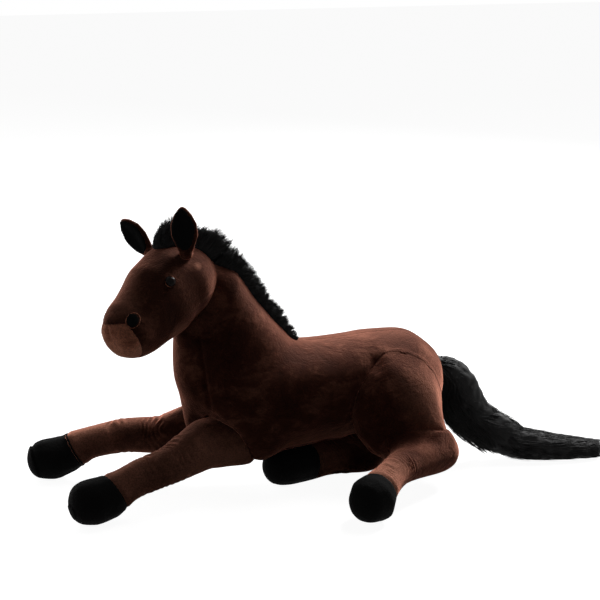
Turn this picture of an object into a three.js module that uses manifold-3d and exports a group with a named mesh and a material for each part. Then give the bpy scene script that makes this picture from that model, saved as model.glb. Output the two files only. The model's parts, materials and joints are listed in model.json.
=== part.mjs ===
// A large plush horse lying down: forelegs stretched ahead, hind legs folded to its left, head turned left.
// Millimetres, +Z up. The nose points to -X and the left flank to -Y, and the floor is Z = 0.
// Every cover is a fabric shell, sewn where it meets its neighbour, round a core of fibre filling.
import * as THREE from "three";
import { mergeVertices } from "three/addons/utils/BufferGeometryUtils.js";
import Module from "manifold-3d";

const wasm = await Module();
wasm.setup();

// Cloth and clearances
const plush = 3; // cover fabric with its pile
const gap = 0.35; // between pieces that are sewn or lie together
const floorTrim = 0.5; // how far a resting form is flattened

// Torso and neck
const torsoLength = 346;
const torsoWidth = 152;
const torsoHeight = 150;
const torsoMid = 108; // height of the barrel's middle
const bellyHeight = 51; // flat of the belly above the folded hind leg
const bellyAhead = 78; // where the flat of the belly starts, ahead of the origin
const neckLength = 196;
const neckWidth = 122;
const neckDepth = 164;
const neckBase = 96; // height at which the neck starts inside the torso

// Head, in its own frame: x to the nose, y to the left, z up, from the centre of the skull ball
const headLength = 177;
const headWidth = 90;
const headHeight = 98;
const skullRadius = 47;
const cheekRadius = 52;
const skullAhead = 156.5; // skull centre ahead of the origin
const skullAside = 3.8; // and to the left of it
const skullUp = 269.8;
const headYawDeg = 37;
const headPitchDeg = 34;
const headRollDeg = 10;
const headTurnDeg = 15;
const neckLeanDeg = 24; // the turn axis leans this far ahead
const pollRise = 12; // the neck ends this far above the skull centre

// Eyes and nostrils
const eyeRadius = 6.5;
const eyeRise = 5;
const eyeSeat = 1; // how deep the eye sits in the pile
const stemRadius = 2.2;
const stemLength = 12;
const washerRadius = 7.5;
const washerThickness = 1.6;
const nostrilLength = 19;
const nostrilHeight = 15;
const nostrilDepth = 5;
const nostrilProud = 0.8;

const eyeAlongShare = 0.29; // places along the head's rows, and turns about them
const eyeTurnDeg = 31;
const nostrilAlongShare = 0.82;
const nostrilTurnDeg = 32;
const muzzleShare = 0.65; // the muzzle panel starts here, in shares of the head's length

// Ears
const earLength = 60;
const earWidth = 36;
const earThickness = 11;
const earRootRadius = 9;
const earBack = 9; // root behind the skull centre
const earSide = 31;
const earUp = 38;
const liningThickness = 2.5;

// Forelegs
const leftForelegLength = 180; // shoulder centre to hoof centre
const rightForelegLength = 200;
const forelegWidth = 76;
const forelegHeight = 78;
const shoulderRadius = 33;
const shoulderAhead = 112;
const shoulderSide = 35;
const shoulderUp = 68;
const shoulderLiftDeg = 18;

// Hind legs
const thighLength = 122;
const thighHeight = 136;
const thighThickness = 86;
const thighLeanDeg = 17; // their tops lean together
const hipBack = 108;
const hipSide = 64;
const hipUp = 97;
const gaskinGirth = 96;
const hockRadius = 26;
const leftHockBack = 158;
const leftHockSide = 88;
const leftHockUp = 42;
const rightHockBack = 150;
const rightHockSide = 62;
const leftCannonReach = 137; // ahead from hock to hoof
const leftCannonSpread = 102; // and to the left
const rightCannonReach = 178;
const rightCannonSpread = 99;
const cannonGirth = 60;
const hockSwingDeg = 8;

// Mane, forelock and tail
const maneWidth = 30;
const maneHeight = 44;
const forelockLength = 58;
const forelockWidth = 34;
const forelockHeight = 26;
const tailRun = 150; // bend to the tip
const tailSide = 40; // how far the tip lies to the left of the bend
const tailGirth = 60;
const dockRadius = 18;
const dockBack = 186;
const dockUp = 127;
const bendRadius = 27;
const bendBack = 257;
const bendSide = 18;
const bendUp = 42;
const tailSwingDeg = 12;
const swingSpareDeg = 2; // hollows leave room for this much more than a swing

const up = new THREE.Vector3(0, 0, 1);
const vec = (x, y, z) => new THREE.Vector3(x, y, z);
const rad = THREE.MathUtils.degToRad;
const far = torsoLength * 4; // reaches past the whole animal
const left = -1;
const right = 1;

const roundSides = 14; // of a ball
const smallSides = 8; // of a small or a hidden one
const formDetail = { sides: 14, steps: 1, domeRings: 3 };
const limbSides = 10;
const limbDetail = { sides: limbSides, steps: 1, domeRings: 3 };
const coarse = { sides: 8, steps: 1, domeRings: 2 };

// A geometry as a solid, moved by a matrix where one is given. Only its positions count.
function solid(geometry, pose = new THREE.Matrix4()) {
  const bare = geometry.clone().applyMatrix4(pose);
  bare.deleteAttribute("normal");
  bare.deleteAttribute("uv");
  const merged = mergeVertices(bare);
  const mesh = new wasm.Mesh({
    numProp: 3,
    vertProperties: merged.attributes.position.array,
    triVerts: new Uint32Array(merged.index.array),
  });
  return new wasm.Manifold(mesh);
}

// A solid back as a geometry, with flat faces.
function geometryOf(shape) {
  const mesh = shape.getMesh();
  const geometry = new THREE.BufferGeometry();
  geometry.setAttribute("position", new THREE.BufferAttribute(new Float32Array(mesh.vertProperties), 3));
  geometry.setIndex(new THREE.BufferAttribute(new Uint32Array(mesh.triVerts), 1));
  const flat = geometry.toNonIndexed();
  flat.computeVertexNormals();
  return flat;
}

// A stuffed form: oval rings square to a smooth spine, with a dome at each end.
// A row is { at, w, h }: the ring's centre, half width and half height.
function stuffed(rows, options = {}) {
  const { grow = 0, domeShares = [0.9, 0.9], fullness = 2, pose } = options;
  const { sides, steps, domeRings } = { ...formDetail, ...options };
  const spine = new THREE.CatmullRomCurve3(rows.map((row) => row.at), false, "catmullrom");
  const girth = new THREE.CatmullRomCurve3(rows.map((row) => vec(row.w, row.h, 0)), false, "catmullrom");
  const spans = (rows.length - 1) * steps;
  const rings = [];
  const addRing = (t, turnShare, end) => {
    const tangent = spine.getTangent(t);
    const size = girth.getPoint(t);
    const side = vec(0, 0, 0).crossVectors(tangent, up).normalize();
    const rise = vec(0, 0, 0).crossVectors(side, tangent);
    const turn = (turnShare * Math.PI) / 2;
    const dome = Math.min(size.x, size.y) * domeShares[end] + grow;
    const way = end ? dome : -dome;
    const centre = spine.getPoint(t).addScaledVector(tangent, way * Math.sin(turn));
    rings.push({ centre, side, rise, w: (size.x + grow) * Math.cos(turn), h: (size.y + grow) * Math.cos(turn) });
  };
  for (let k = domeRings; k > 0; k--) addRing(0, k / domeRings, 0);
  for (let k = 0; k <= spans; k++) addRing(k / spans, 0, 1);
  for (let k = 1; k <= domeRings; k++) addRing(1, k / domeRings, 1);

  const start = rings.shift().centre;
  const finish = rings.pop().centre;
  const points = [...start.toArray(), ...finish.toArray()];
  const bulge = (value) => Math.sign(value) * Math.abs(value) ** (2 / fullness);
  for (const ring of rings) {
    for (let j = 0; j < sides; j++) {
      const angle = (j / sides) * 2 * Math.PI;
      const point = ring.centre.clone();
      point.addScaledVector(ring.side, ring.w * bulge(Math.cos(angle)));
      point.addScaledVector(ring.rise, ring.h * bulge(Math.sin(angle)));
      points.push(...point.toArray());
    }
  }
  const corner = (ring, j) => 2 + ring * sides + (j % sides);
  const faces = [];
  for (let j = 0; j < sides; j++) {
    faces.push(0, corner(0, j), corner(0, j + 1));
    faces.push(1, corner(rings.length - 1, j + 1), corner(rings.length - 1, j));
    for (let i = 0; i + 1 < rings.length; i++) {
      faces.push(corner(i, j), corner(i + 1, j), corner(i + 1, j + 1));
      faces.push(corner(i, j), corner(i + 1, j + 1), corner(i, j + 1));
    }
  }
  const geometry = new THREE.BufferGeometry();
  geometry.setAttribute("position", new THREE.BufferAttribute(new Float32Array(points), 3));
  geometry.setIndex(faces);
  return solid(geometry, pose);
}

// Shares [along, aside, rise, half width, half height] of a form's sizes, as rows from its start.
function rowsOf(shares, start, along, aside, rise, width, height) {
  return shares.map(([x, y, z, w, h]) => ({
    at: start.clone().add(vec(x * along, y * aside, z * rise)),
    w: w * width,
    h: h * height,
  }));
}

function ball(centre, radius, sides = roundSides) {
  const geometry = new THREE.SphereGeometry(radius, sides, sides / 2);
  return solid(geometry.translate(centre.x, centre.y, centre.z));
}

// The hollow in which a ball turns without touching its facets.
const socket = (centre, radius, sides = roundSides) =>
  ball(centre, (radius + gap) / Math.cos(Math.PI / sides) ** 2, sides);

function ellipsoid(radii, pose, sides = smallSides) {
  const geometry = new THREE.SphereGeometry(1, sides, sides / 2);
  return solid(geometry.scale(radii.x, radii.y, radii.z), pose);
}

// A turned solid: [radius, height] pairs about an axis, which is laid along a direction.
function turned(profile, centre, direction, sides, pose) {
  const points = profile.map(([radius, height]) => new THREE.Vector2(radius, height));
  const geometry = new THREE.LatheGeometry(points, sides);
  const lay = new THREE.Quaternion().setFromUnitVectors(vec(0, 1, 0), direction.clone().normalize());
  return solid(geometry.applyQuaternion(lay).translate(centre.x, centre.y, centre.z), pose);
}

// Everything past a plane, as a large block.
function past(point, direction) {
  const geometry = new THREE.BoxGeometry(far, far, far).translate(0, 0, far / 2);
  const lay = new THREE.Quaternion().setFromUnitVectors(up, direction.clone().normalize());
  return solid(geometry.applyQuaternion(lay).translate(point.x, point.y, point.z));
}

// A shape parted at a plane: what is short of it, and what is past it.
function parted(shape, point, direction) {
  const half = direction.clone().normalize().multiplyScalar(gap / 2);
  const short = shape.subtract(past(point.clone().sub(half), direction));
  const beyond = shape.intersect(past(point.clone().add(half), direction));
  return [short, beyond];
}

const join = (...shapes) => shapes.reduce((whole, shape) => whole.add(shape));
const cut = (shape, ...tools) => tools.reduce((rest, tool) => rest.subtract(tool), shape);
const onFloor = (shape) => shape.subtract(past(vec(0, 0, 0), vec(0, 0, -1)));

// A turn about an axis through a point, as a matrix.
function turnAbout(pivot, axis, degrees) {
  const there = new THREE.Matrix4().makeTranslation(pivot.x, pivot.y, pivot.z);
  const back = new THREE.Matrix4().makeTranslation(-pivot.x, -pivot.y, -pivot.z);
  const turn = new THREE.Matrix4().makeRotationAxis(axis, rad(degrees));
  return there.multiply(turn).multiply(back);
}

const brown = { color: 0x3a1f17, roughness: 0.95, metalness: 0 };
const paleBrown = { color: 0x53302a, roughness: 0.95, metalness: 0 };
const black = { color: 0x0b0a0a, roughness: 0.95, metalness: 0 };
const hair = { color: 0x100e0e, roughness: 0.8, metalness: 0 };
const gloss = { color: 0x0a0504, roughness: 0.1, metalness: 0 };
const plastic = { color: 0xd8d4cc, roughness: 0.5, metalness: 0 };
const fibre = { color: 0xf2efe8, roughness: 1, metalness: 0 };

const horse = new THREE.Group();

function add(name, shape, finish) {
  const mesh = new THREE.Mesh(geometryOf(shape), new THREE.MeshStandardMaterial(finish));
  mesh.name = name;
  horse.add(mesh);
}

const nameOf = (side) => (side === left ? "left" : "right");

// Joint centres
const skull = vec(-skullAhead, -skullAside, skullUp);
const neckAxis = vec(-Math.sin(rad(neckLeanDeg)), 0, Math.cos(rad(neckLeanDeg)));
const shoulder = (side) => vec(-shoulderAhead, side * shoulderSide, shoulderUp);
const hip = (side) => vec(hipBack, side * hipSide, hipUp);
const rightHockUp = hockRadius * Math.cos(Math.PI / limbSides) - floorTrim; // the animal lies on it
const leftHock = vec(leftHockBack, -leftHockSide, leftHockUp);
const rightHock = vec(rightHockBack, rightHockSide, rightHockUp);
const hock = (side) => (side === left ? leftHock : rightHock);
const dock = vec(dockBack, 0, dockUp);
const bend = vec(bendBack, -bendSide, bendUp);

// Torso and neck forms
const torsoShares = [
  [0.085, 0, -0.02, 0.41, 0.44],
  [0.2, 0, -0.02, 0.5, 0.5],
  [0.36, 0, 0.03, 0.5, 0.46],
  [0.53, 0, 0.06, 0.485, 0.415],
  [0.69, 0, 0.065, 0.49, 0.43],
  [0.83, 0, 0.045, 0.48, 0.45],
  [0.915, 0, -0.01, 0.41, 0.39],
];
const torsoStart = vec(torsoLength * -0.44, 0, torsoMid);
const torsoRows = rowsOf(torsoShares, torsoStart, torsoLength, torsoWidth, torsoHeight, torsoWidth, torsoHeight);
const torsoForm = (grow, detail) =>
  stuffed(torsoRows, { grow, domeShares: [0.49, 0.52], fullness: 2.2, ...detail });

const neckShares = [
  [-0.43, 0, 0, 0.46, 0.43],
  [-0.54, 0, 0.337, 0.48, 0.49],
  [-0.625, 0, 0.49, 0.43, 0.42],
  [-0.689, 0, 0.663, 0.375, 0.332],
  [-0.756, 0, 0.816, 0.33, 0.285],
  [-0.854, 0, 0.969, 0.28, 0.22],
];
const neckStart = vec(0, 0, neckBase);
const neckRows = rowsOf(neckShares, neckStart, neckDepth, neckWidth, neckLength, neckWidth, neckDepth);
const neckForm = (grow, detail) => stuffed(neckRows, { grow, domeShares: [0.5, 0.8], ...detail });

// Head form, in its own frame and then posed
const headPose = new THREE.Matrix4()
  .makeRotationFromEuler(new THREE.Euler(rad(headRollDeg), rad(headPitchDeg), rad(180 + headYawDeg), "ZYX"))
  .setPosition(skull);
const inWorld = (x, y, z) => vec(x, y, z).applyMatrix4(headPose);
const headWay = (x, y, z) => vec(x, y, z).transformDirection(headPose);
const headShares = [
  [0, 0, 0, 0.522, 0.48],
  [0.11, 0, 0.06, 0.485, 0.51],
  [0.245, 0, 0.102, 0.467, 0.53],
  [0.38, 0, 0.122, 0.411, 0.459],
  [0.5, 0, 0.148, 0.35, 0.427],
  [0.609, 0, 0.205, 0.335, 0.38],
  [0.68, 0, 0.235, 0.27, 0.285],
];
const headRows = rowsOf(headShares, vec(0, 0, 0), headLength, headWidth, headHeight, headWidth, headHeight);
const headForm = (grow, detail) =>
  stuffed(headRows, { grow, domeShares: [1, 0.5], steps: 1, pose: headPose, ...detail });
const throatHole = ball(skull.clone().addScaledVector(neckAxis, -skullRadius), skullRadius * 0.55, smallSides);

// Where the head turns, in the neck: the skull ball, and the cheeks at both ends of the turn
const cheekAlongShare = 0.15;
const cheekUpShare = 0.05;
const cheek = inWorld(headLength * cheekAlongShare, 0, headHeight * cheekUpShare);
function headRoom(sides) {
  const sweep = [-1, 0, 1].map((way) => cheek.clone().applyMatrix4(turnAbout(skull, neckAxis, way * headTurnDeg)));
  return join(socket(skull, skullRadius, sides), ...sweep.map((centre) => socket(centre, cheekRadius, sides)));
}
const headHollow = headRoom(roundSides);
const aboveNeck = past(skull.clone().addScaledVector(neckAxis, pollRise - gap / 2), neckAxis);

// Limb forms. A limb's rows start at its joint.
const leftForelegShares = [
  [0, 0, 0, 0.434, 0.423],
  [0.161, 0.14, 0.025, 0.4, 0.41],
  [0.31, 0.3, -0.087, 0.345, 0.345],
  [0.41, 0.385, -0.167, 0.316, 0.3],
  [0.533, 0.455, -0.227, 0.3, 0.282],
  [0.644, 0.505, -0.277, 0.292, 0.276],
  [0.755, 0.565, -0.372, 0.29, 0.272],
  [0.856, 0.625, -0.487, 0.37, 0.345],
  [0.978, 0.675, -0.532, 0.408, 0.365],
  [1.05, 0.695, -0.527, 0.342, 0.345],
];
const rightForelegShares = [
  [0, 0, 0, 0.434, 0.423],
  [0.15, 0.14, -0.08, 0.38, 0.37],
  [0.3, 0.31, -0.207, 0.33, 0.31],
  [0.41, 0.395, -0.197, 0.31, 0.295],
  [0.533, 0.475, -0.197, 0.296, 0.275],
  [0.644, 0.535, -0.252, 0.29, 0.262],
  [0.755, 0.585, -0.312, 0.285, 0.258],
  [0.856, 0.635, -0.457, 0.36, 0.335],
  [0.978, 0.675, -0.536, 0.4, 0.36],
  [1.05, 0.695, -0.53, 0.34, 0.34],
];
const forelegHoofShare = 0.62; // between the last pastern row and the first hoof row
function forelegRows(side) {
  const shares = side === left ? leftForelegShares : rightForelegShares;
  const length = side === left ? leftForelegLength : rightForelegLength;
  return rowsOf(shares, shoulder(side), -length, side * forelegWidth, forelegHeight, forelegWidth, forelegHeight);
}
const forelegForm = (side, grow, detail) =>
  stuffed(forelegRows(side), { grow, domeShares: [1, 0.68], ...limbDetail, ...detail });

function thighForm(side, grow) {
  const radii = vec(thighLength / 2 + grow, thighThickness / 2 + grow, thighHeight / 2 + grow);
  const pose = new THREE.Matrix4().makeRotationX(rad(side * thighLeanDeg)).setPosition(hip(side));
  return ellipsoid(radii, pose, roundSides);
}
// The gaskin runs from inside the thigh to the hock.
const gaskinShares = [
  [0.1, 0.2, 0.85, 0.36, 0.4],
  [0.55, 0.6, 0.5, 0.31, 0.33],
  [0.93, 0.93, 0.12, 0.27, 0.29],
];
function gaskinForm(side, grow, detail) {
  const knee = hip(side);
  const ankle = hock(side);
  const start = vec(knee.x, knee.y, ankle.z);
  const rows = rowsOf(gaskinShares, start, ankle.x - knee.x, ankle.y - knee.y, knee.z - ankle.z, gaskinGirth, gaskinGirth);
  return stuffed(rows, { grow, domeShares: [0.8, 0.8], ...limbDetail, ...detail });
}
const legForm = (side, grow, detail) =>
  join(thighForm(side, grow), gaskinForm(side, grow, detail));

const leftCannonShares = [
  [0, 0, 0, 0.433, 0.433],
  [0.136, 0.11, 0.02, 0.42, 0.43],
  [0.348, 0.3, 0.05, 0.38, 0.39],
  [0.53, 0.486, 0.06, 0.34, 0.35],
  [0.682, 0.673, 0.03, 0.32, 0.32],
  [0.79, 0.8, -0.07, 0.4, 0.4],
  [0.909, 0.944, -0.23, 0.49, 0.52],
  [0.985, 1.037, -0.22, 0.42, 0.45],
];
const rightCannonShares = [
  [0, 0, 0, 0.433, 0.433],
  [0.15, 0.2, -0.01, 0.42, 0.42],
  [0.33, 0.42, -0.02, 0.4, 0.4],
  [0.52, 0.62, -0.02, 0.39, 0.39],
  [0.7, 0.76, -0.025, 0.385, 0.385],
  [0.82, 0.83, -0.01, 0.43, 0.415],
  [0.99, 0.91, 0, 0.47, 0.43],
  [1.07, 0.95, 0, 0.42, 0.4],
];
const cannonHoofShare = 0.85;
function cannonRows(side) {
  const shares = side === left ? leftCannonShares : rightCannonShares;
  const reach = side === left ? leftCannonReach : rightCannonReach;
  const aside = side === left ? -leftCannonSpread : -rightCannonSpread;
  return rowsOf(shares, hock(side), -reach, aside, cannonGirth, cannonGirth, cannonGirth);
}
const cannonForm = (side, grow, detail) =>
  stuffed(cannonRows(side), { grow, domeShares: [1, 0.75], ...limbDetail, ...detail });

// Tail: a thick fall of hair from the dock to the floor, then a run along it
const tailTopShares = [
  [0, 0, 0, 0.3, 0.3],
  [0.24, 0.17, -0.09, 0.4, 0.41],
  [0.41, 0.33, -0.27, 0.44, 0.47],
  [0.53, 0.55, -0.53, 0.45, 0.49],
  [0.73, 0.78, -0.8, 0.44, 0.45],
  [1, 1, -1, 0.45, 0.45],
];
const tailEndShares = [
  [0, 0, 0, 0.45, 0.45],
  [0.113, 0.175, -0.21, 0.42, 0.46],
  [0.24, 0.375, -0.488, 0.38, 0.37],
  [0.42, 0.625, -0.548, 0.36, 0.325],
  [0.607, 0.8, -0.619, 0.34, 0.275],
  [0.787, 0.925, -0.679, 0.3, 0.233],
  [0.925, 1, -0.73, 0.22, 0.195],
];
const tailTopRows = rowsOf(tailTopShares, dock, bendBack - dockBack, -bendSide, dockUp - bendUp, tailGirth, tailGirth);
const tailEndRows = rowsOf(tailEndShares, bend, tailRun, -tailSide, bendUp, tailGirth, tailGirth);
const tailTopForm = stuffed(tailTopRows, { domeShares: [1, 0.3], ...limbDetail });
const tailEndForm = stuffed(tailEndRows, { domeShares: [1, 0.9], ...limbDetail });

// What a swinging limb needs of its neighbour beyond its socket: its first rows, spread over the swing
function swingHollow(rows, pivot, axis, fromDeg, toDeg) {
  const clear = plush + gap * 2;
  const spread = Math.sin(rad((toDeg - fromDeg) / 2 + swingSpareDeg));
  const aside = axis === up ? spread : 0;
  const above = axis === up ? 0 : spread;
  const root = rows.map(({ at, w, h }) => {
    const away = at.distanceTo(pivot);
    return { at, w: w + clear + away * aside, h: h + clear + away * above };
  });
  const pose = turnAbout(pivot, axis, (fromDeg + toDeg) / 2);
  return stuffed(root, { ...coarse, sides: smallSides + 2, domeShares: [0.3, 0.3], pose });
}
const forelegHollow = (side, sides) =>
  join(
    socket(shoulder(side), shoulderRadius, sides),
    swingHollow(forelegRows(side).slice(0, 4), shoulder(side), vec(0, 1, 0), 0, shoulderLiftDeg),
  );
const tailHollow = (sides) =>
  join(
    socket(dock, dockRadius, sides),
    swingHollow(tailTopRows, dock, up, -tailSwingDeg, tailSwingDeg),
  );
// The belly is flat where the right hind leg is folded under it.
const underBelly = (rise) =>
  past(vec(0, 0, bellyHeight + rise), vec(0, 0, -1)).intersect(past(vec(-bellyAhead, 0, 0), vec(1, 0, 0)));
const sides = [left, right];
const shoulderHollows = sides.map((side) => forelegHollow(side, roundSides));
const legHollows = sides.map((side) => legForm(side, gap));
const coreHollows = [
  ...sides.map((side) => forelegHollow(side, smallSides)),
  ...sides.map((side) => legForm(side, plush)),
  tailHollow(smallSides),
  headRoom(smallSides),
];

// Torso: two flanks with a seam along the back and the belly
const torsoInside = cut(torsoForm(-plush, coarse), underBelly(plush));
const torsoShell = cut(torsoForm(0), torsoInside, neckForm(-plush, coarse), underBelly(0));
const torsoWall = cut(torsoShell, ...shoulderHollows, ...legHollows, tailHollow(roundSides));
const gussetWay = vec(-1, 0, -0.1);
const chestGussetShare = 0.0614; // of the torso, from its start
const throatGussetShare = 0.799; // of the neck's depth, from the origin
const chestSeam = torsoStart.clone().add(vec(torsoLength * chestGussetShare, 0, neckBase - torsoMid));
const throatSeam = vec(-neckDepth * throatGussetShare, 0, neckBase);
const [torsoSides, chest] = parted(torsoWall, chestSeam, gussetWay);
const [torsoLeft, torsoRight] = parted(torsoSides, vec(0, 0, 0), vec(0, 1, 0));
add("left_torso_panel", torsoLeft, brown);
add("right_torso_panel", torsoRight, brown);
add("chest_gusset", chest, brown);

// Neck: two sides and a throat gusset
const neckShell = cut(neckForm(0), neckForm(-plush, coarse), torsoForm(gap), headHollow, aboveNeck);
const neckWall = cut(neckShell, ...shoulderHollows);
const [neckSides, gusset] = parted(neckWall, throatSeam, gussetWay);
const [neckLeft, neckRight] = parted(neckSides, vec(0, 0, 0), vec(0, 1, 0));
add("left_neck_panel", neckLeft, brown);
add("right_neck_panel", neckRight, brown);
add("throat_gusset", gusset, brown);

// Filling of torso and neck, in one
const bodyCore = join(torsoForm(-plush - gap, coarse), neckForm(-plush - gap, coarse));
add("body_filling", cut(bodyCore, underBelly(plush + gap), aboveNeck, ...coreHollows), fibre);

// Mane: one strip of long hair down the crest, cut where the head turns
const maneShares = [
  [-0.87, 0, 1.05, 0.42, 0.85],
  [-0.76, 0, 1.03, 0.48, 0.88],
  [-0.62, 0, 0.945, 0.5, 0.72],
  [-0.457, 0, 0.888, 0.5, 0.37],
  [-0.317, 0, 0.694, 0.5, 0.35],
  [-0.22, 0, 0.607, 0.48, 0.33],
  [-0.146, 0, 0.515, 0.42, 0.3],
  [-0.07, 0, 0.455, 0.28, 0.2],
];
const maneRows = rowsOf(maneShares, neckStart, neckDepth, neckWidth, neckLength, maneWidth, maneHeight);
const maneForm = cut(stuffed(maneRows, { sides: 12, steps: 1 }), neckForm(gap), torsoForm(gap));
const aboveMane = past(skull.clone().addScaledVector(neckAxis, pollRise + gap / 2), neckAxis);
add("neck_mane", cut(maneForm, aboveNeck, headHollow), hair);

// A point on the face, its outward direction, and the way ahead along the face, from a place along the
// head and a turn about it
function onFace(alongShare, turnDeg) {
  const curve = new THREE.CatmullRomCurve3(headRows.map((row) => row.at), false, "catmullrom");
  const girth = new THREE.CatmullRomCurve3(headRows.map((row) => vec(row.w, row.h, 0)), false, "catmullrom");
  const middle = curve.getPoint(alongShare);
  const size = girth.getPoint(alongShare);
  const across = Math.cos(rad(turnDeg));
  const above = Math.sin(rad(turnDeg));
  const point = inWorld(middle.x, middle.y + size.x * across, middle.z + size.y * above);
  const outward = headWay(0, across / size.x, above / size.y);
  return { point, outward };
}

const faceTurn = (side, turnDeg) => (side === left ? turnDeg : 180 - turnDeg);

// Eyes: a domed button, its stem through the cloth and a washer behind it
const eyePlace = (side) => onFace(eyeAlongShare, faceTurn(side, eyeTurnDeg));
function eyeForm(side) {
  const { point, outward } = eyePlace(side);
  const profile = [[0, -stemLength], [stemRadius, -stemLength], [stemRadius, -eyeSeat], [eyeRadius, -eyeSeat]];
  const steps = 3;
  for (let k = 0; k <= steps; k++) {
    const turn = (k / steps) * Math.PI * 0.5;
    profile.push([k === steps ? 0 : eyeRadius * Math.cos(turn), eyeRise * Math.sin(turn)]);
  }
  return turned(profile, point, outward, roundSides);
}
const washerTop = -plush - eyeSeat - gap;
const washerFoot = washerTop - washerThickness;
function washerForm(side) {
  const { point, outward } = eyePlace(side);
  const bore = stemRadius + gap;
  const profile = [[bore, washerFoot], [washerRadius, washerFoot], [washerRadius, washerTop], [bore, washerTop], [bore, washerFoot]];
  return turned(profile, point, outward, roundSides);
}
function eyeHollow(side) {
  const { point, outward } = eyePlace(side);
  const wide = 1 / Math.cos(Math.PI / smallSides);
  const stem = (stemRadius + gap) * wide;
  const flange = (washerRadius + gap) * wide;
  const mouth = (eyeRadius + gap) * wide;
  const profile = [
    [0, -stemLength - gap],
    [stem, -stemLength - gap],
    [stem, washerFoot - gap],
    [flange, washerFoot - gap],
    [flange, washerTop + gap],
    [stem, washerTop + gap],
    [stem, -eyeSeat - gap],
    [mouth, -eyeSeat - gap],
    [mouth, eyeRise],
    [0, eyeRise],
  ];
  return turned(profile, point, outward, smallSides);
}

// Nostrils: dark oval patches let into the muzzle
const nostrilPlace = (side) => onFace(nostrilAlongShare, faceTurn(side, nostrilTurnDeg));
function nostrilForm(side, grow) {
  const { point, outward } = nostrilPlace(side);
  const ahead = headWay(1, 0, 0);
  const across = vec(0, 0, 0).crossVectors(outward, ahead).normalize();
  const along = vec(0, 0, 0).crossVectors(across, outward);
  const pose = new THREE.Matrix4().makeBasis(along, across, outward).setPosition(point);
  const radii = vec(nostrilLength / 2 + grow, nostrilHeight / 2 + grow, nostrilDepth + grow);
  return ellipsoid(radii, pose);
}

// Ears: a leaf with a ball root, hollowed in front for a lining. Directions are in the head's frame.
const earLeans = { [left]: [-0.45, 0.16, 0.87], [right]: [-0.34, -0.66, 0.65] };
const earOpenings = { [left]: [0.9, 0.5, 0], [right]: [0.9, 0.45, 0] };
function earPose(side) {
  const along = headWay(...earLeans[side]).normalize();
  const open = headWay(...earOpenings[side]);
  const across = vec(0, 0, 0).crossVectors(open, along).normalize();
  const front = vec(0, 0, 0).crossVectors(along, across);
  const root = inWorld(-earBack, -side * earSide, earUp);
  return new THREE.Matrix4().makeBasis(along, across, front).setPosition(root);
}
const earShares = [
  [0, 0, 0, 0.22, 0.4],
  [0.17, 0, 0, 0.34, 0.45],
  [0.38, 0, 0, 0.47, 0.5],
  [0.62, 0, 0, 0.46, 0.5],
  [0.82, 0, 0, 0.31, 0.42],
  [0.95, 0, 0, 0.13, 0.3],
];
const earRows = rowsOf(earShares, vec(0, 0, 0), earLength, earWidth, earThickness, earWidth, earThickness);
const earJoint = (side) => vec(0, 0, 0).applyMatrix4(earPose(side));
function earScoop(side, grow) {
  const pose = earPose(side).multiply(new THREE.Matrix4().makeTranslation(earLength * 0.52, 0, earThickness * 0.95));
  return ellipsoid(vec(earLength * 0.47 + grow, earWidth * 0.38 + grow, earThickness * 0.82 + grow), pose);
}

// Head: two sides, a muzzle, the filling
const earHollows = sides.map((side) => socket(earJoint(side), earRootRadius, smallSides));
const nostrilHollows = sides.map((side) => nostrilForm(side, gap));
const headHollows = [eyeHollow(left), eyeHollow(right), ...earHollows, ...nostrilHollows];
const headWall = cut(headForm(0), headForm(-plush, coarse), throatHole, ...headHollows);
// The muzzle panel is ahead of one plane and below another, under the nostrils.
function muzzleBlock(shift) {
  const ahead = headWay(1, 0, 0.1);
  const below = headWay(Math.sin(rad(headPitchDeg)), 0, -Math.cos(rad(headPitchDeg)));
  const rear = inWorld(headLength * muzzleShare, 0, headHeight * 0.2).addScaledVector(ahead, shift);
  const nose = nostrilPlace(left).point.lerp(nostrilPlace(right).point, 0.5);
  const top = nose.addScaledVector(below, nostrilHeight * 0.3 + shift);
  return past(rear, ahead).intersect(past(top, below));
}
const muzzle = headWall.intersect(muzzleBlock(gap / 2));
const headSides = headWall.subtract(muzzleBlock(-gap / 2));
const [headRight, headLeft] = parted(headSides, skull, headWay(0, 1, 0));
add("left_head_panel", headLeft, brown);
add("right_head_panel", headRight, brown);
add("muzzle_panel", muzzle, paleBrown);
add("head_filling", cut(headForm(-plush - gap, coarse), ...headHollows), fibre);
for (const side of sides) {
  const name = nameOf(side);
  add(`${name}_eye`, eyeForm(side), gloss);
  add(`${name}_eye_washer`, washerForm(side), plastic);
  add(`${name}_nostril`, cut(nostrilForm(side, 0).intersect(headForm(nostrilProud)), headForm(-nostrilDepth / 2)), black);
  const leaf = stuffed(earRows, { sides: 12, steps: 1, domeRings: 1, pose: earPose(side) });
  const lining = cut(leaf.intersect(earScoop(side, liningThickness)), earScoop(side, 0));
  const root = ellipsoid(vec(earRootRadius, earRootRadius, earRootRadius), earPose(side));
  const back = cut(join(leaf, root), earScoop(side, liningThickness + gap));
  add(`${name}_ear_back`, back, brown);
  add(`${name}_ear_lining`, lining, black);
}

// Poll and forelock: the same hair, on the head
const forelockShares = [
  [-0.5, 0, -0.28, 0.4, 0.45],
  [-0.2, 0, 0.02, 0.5, 0.5],
  [0.16, 0, 0.14, 0.46, 0.46],
  [0.5, 0, 0.12, 0.24, 0.26],
];
const forelockStart = vec(headLength * -0.06, 0, headHeight * 0.58);
const forelockRows = rowsOf(
  forelockShares, forelockStart, forelockLength, forelockWidth, forelockHeight, forelockWidth, forelockHeight,
);
const forelockForm = (grow) => stuffed(forelockRows, { grow, sides: 12, steps: 1, domeRings: 2, pose: headPose });
const hairHollows = [headForm(gap), ...earHollows];
add("poll_mane", cut(maneForm.intersect(aboveMane), forelockForm(gap), ...hairHollows), hair);
add("forelock", cut(forelockForm(0), ...hairHollows), hair);

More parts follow.
